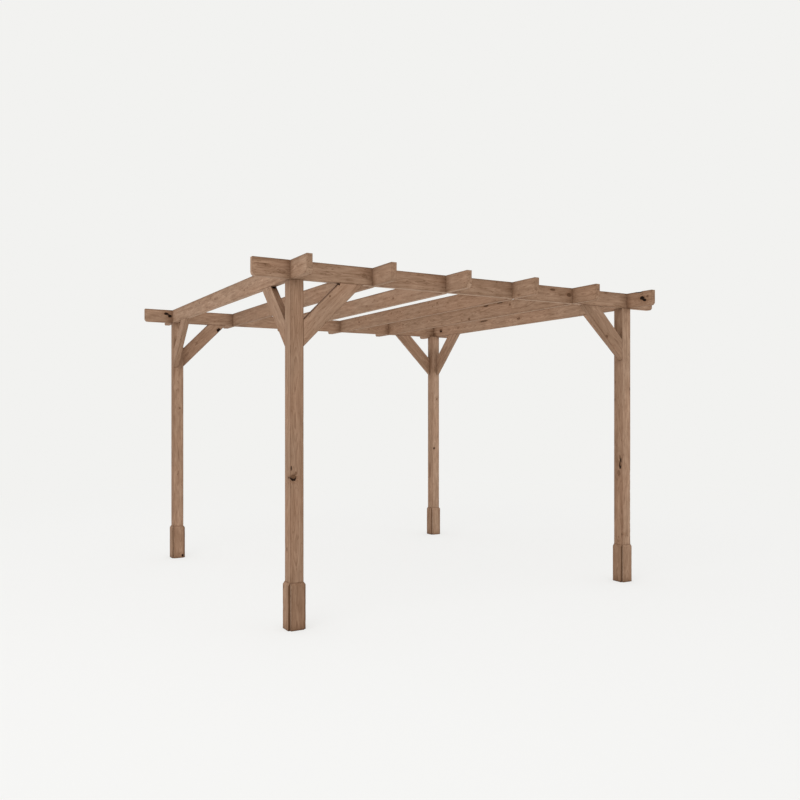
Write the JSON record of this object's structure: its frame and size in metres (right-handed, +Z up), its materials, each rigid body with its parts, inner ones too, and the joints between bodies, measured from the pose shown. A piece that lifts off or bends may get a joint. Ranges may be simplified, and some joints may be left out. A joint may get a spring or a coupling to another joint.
{
  "type": "wooden pergola",
  "caption": "Free-standing square timber pergola: posts with boxed feet carry a front and a rear beam and halved-in rafters, stiffened by knee braces.",
  "frame": {"origin": "on the ground, at the middle of the plan", "axes": "+Z up, +X to the right along the beams, +Y to the rear along the rafters"},
  "size_m": [3.556, 3.576, 2.4],
  "materials": {
    "post_wood": "matt brown stain on planed softwood",
    "shoe_wood": "matt brown stain on sawn softwood boards",
    "beam_wood": "matt brown stain on planed softwood",
    "rafter_wood": "matt brown stain on planed softwood",
    "brace_wood": "matt brown stain on planed softwood"
  },
  "bodies": {
    "root": {"post_front_left": "post_wood", "post_front_right": "post_wood", "post_rear_left": "post_wood", "post_rear_right": "post_wood", "shoe_front_left_right": "shoe_wood", "shoe_front_left_rear": "shoe_wood", "shoe_front_left_left": "shoe_wood", "shoe_front_left_front": "shoe_wood", "shoe_front_right_right": "shoe_wood", "shoe_front_right_rear": "shoe_wood", "shoe_front_right_left": "shoe_wood", "shoe_front_right_front": "shoe_wood", "shoe_rear_left_right": "shoe_wood", "shoe_rear_left_rear": "shoe_wood", "shoe_rear_left_left": "shoe_wood", "shoe_rear_left_front": "shoe_wood", "shoe_rear_right_right": "shoe_wood", "shoe_rear_right_rear": "shoe_wood", "shoe_rear_right_left": "shoe_wood", "shoe_rear_right_front": "shoe_wood", "front_beam": "beam_wood", "rear_beam": "beam_wood", "rafter_1": "rafter_wood", "rafter_2": "rafter_wood", "rafter_3": "rafter_wood", "rafter_4": "rafter_wood", "rafter_5": "rafter_wood", "rafter_6": "rafter_wood", "beam_brace_front_left": "brace_wood", "beam_brace_front_right": "brace_wood", "beam_brace_rear_left": "brace_wood", "beam_brace_rear_right": "brace_wood", "rafter_brace_front_left": "brace_wood", "rafter_brace_front_right": "brace_wood", "rafter_brace_rear_left": "brace_wood", "rafter_brace_rear_right": "brace_wood"}
  },
  "joints": []
}
